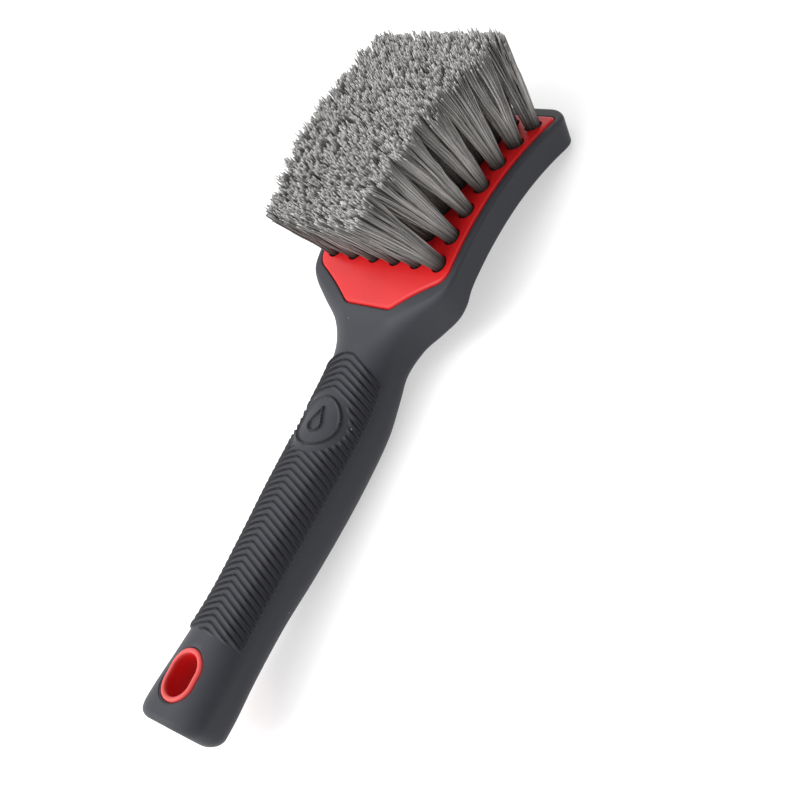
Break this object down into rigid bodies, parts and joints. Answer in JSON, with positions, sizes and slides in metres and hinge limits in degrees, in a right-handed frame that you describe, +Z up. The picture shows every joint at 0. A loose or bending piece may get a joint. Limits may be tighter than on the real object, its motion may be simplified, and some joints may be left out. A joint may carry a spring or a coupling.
{
  "type": "wheel brush",
  "caption": "Hand brush for washing wheels: a curved head drilled for flared bristle tufts, on a soft ribbed grip with a hang hole.",
  "frame": {"origin": "on the ground, under the middle of the brush's box, with the brush lying on its back and its bristles up", "axes": "+X along the handle towards the head's far end, +Y to the left across the head, +Z up, the way the bristles point"},
  "size_m": [0.2554, 0.07, 0.0654],
  "materials": {
    "red_core": "moulded, satin gloss",
    "grip_rubber": "soft-touch, matt",
    "bristle": "fine grey filament",
    "anchor_wire": "drawn flat wire"
  },
  "bodies": {
    "root": {"core": "red_core", "grip": "grip_rubber", "anchors_row_1": "anchor_wire", "anchors_row_2": "anchor_wire", "anchors_row_3": "anchor_wire", "anchors_row_4": "anchor_wire", "anchors_row_5": "anchor_wire", "anchors_row_6": "anchor_wire", "anchors_row_7": "anchor_wire", "tuft_r1_c1": "bristle", "tuft_r1_c2": "bristle", "tuft_r1_c3": "bristle", "tuft_r1_c4": "bristle", "tuft_r1_c5": "bristle", "tuft_r1_c6": "bristle", "tuft_r2_c1": "bristle", "tuft_r2_c2": "bristle", "tuft_r2_c3": "bristle", "tuft_r2_c4": "bristle", "tuft_r2_c5": "bristle", "tuft_r2_c6": "bristle", "tuft_r3_c1": "bristle", "tuft_r3_c2": "bristle", "tuft_r3_c3": "bristle", "tuft_r3_c4": "bristle", "tuft_r3_c5": "bristle", "tuft_r3_c6": "bristle", "tuft_r4_c1": "bristle", "tuft_r4_c2": "bristle", "tuft_r4_c3": "bristle", "tuft_r4_c4": "bristle", "tuft_r4_c5": "bristle", "tuft_r4_c6": "bristle", "tuft_r5_c1": "bristle", "tuft_r5_c2": "bristle", "tuft_r5_c3": "bristle", "tuft_r5_c4": "bristle", "tuft_r5_c5": "bristle", "tuft_r5_c6": "bristle", "tuft_r6_c1": "bristle", "tuft_r6_c2": "bristle", "tuft_r6_c3": "bristle", "tuft_r6_c4": "bristle", "tuft_r6_c5": "bristle", "tuft_r6_c6": "bristle", "tuft_r7_c1": "bristle", "tuft_r7_c2": "bristle", "tuft_r7_c3": "bristle", "tuft_r7_c4": "bristle", "tuft_r7_c5": "bristle", "tuft_r7_c6": "bristle"}
  },
  "joints": []
}
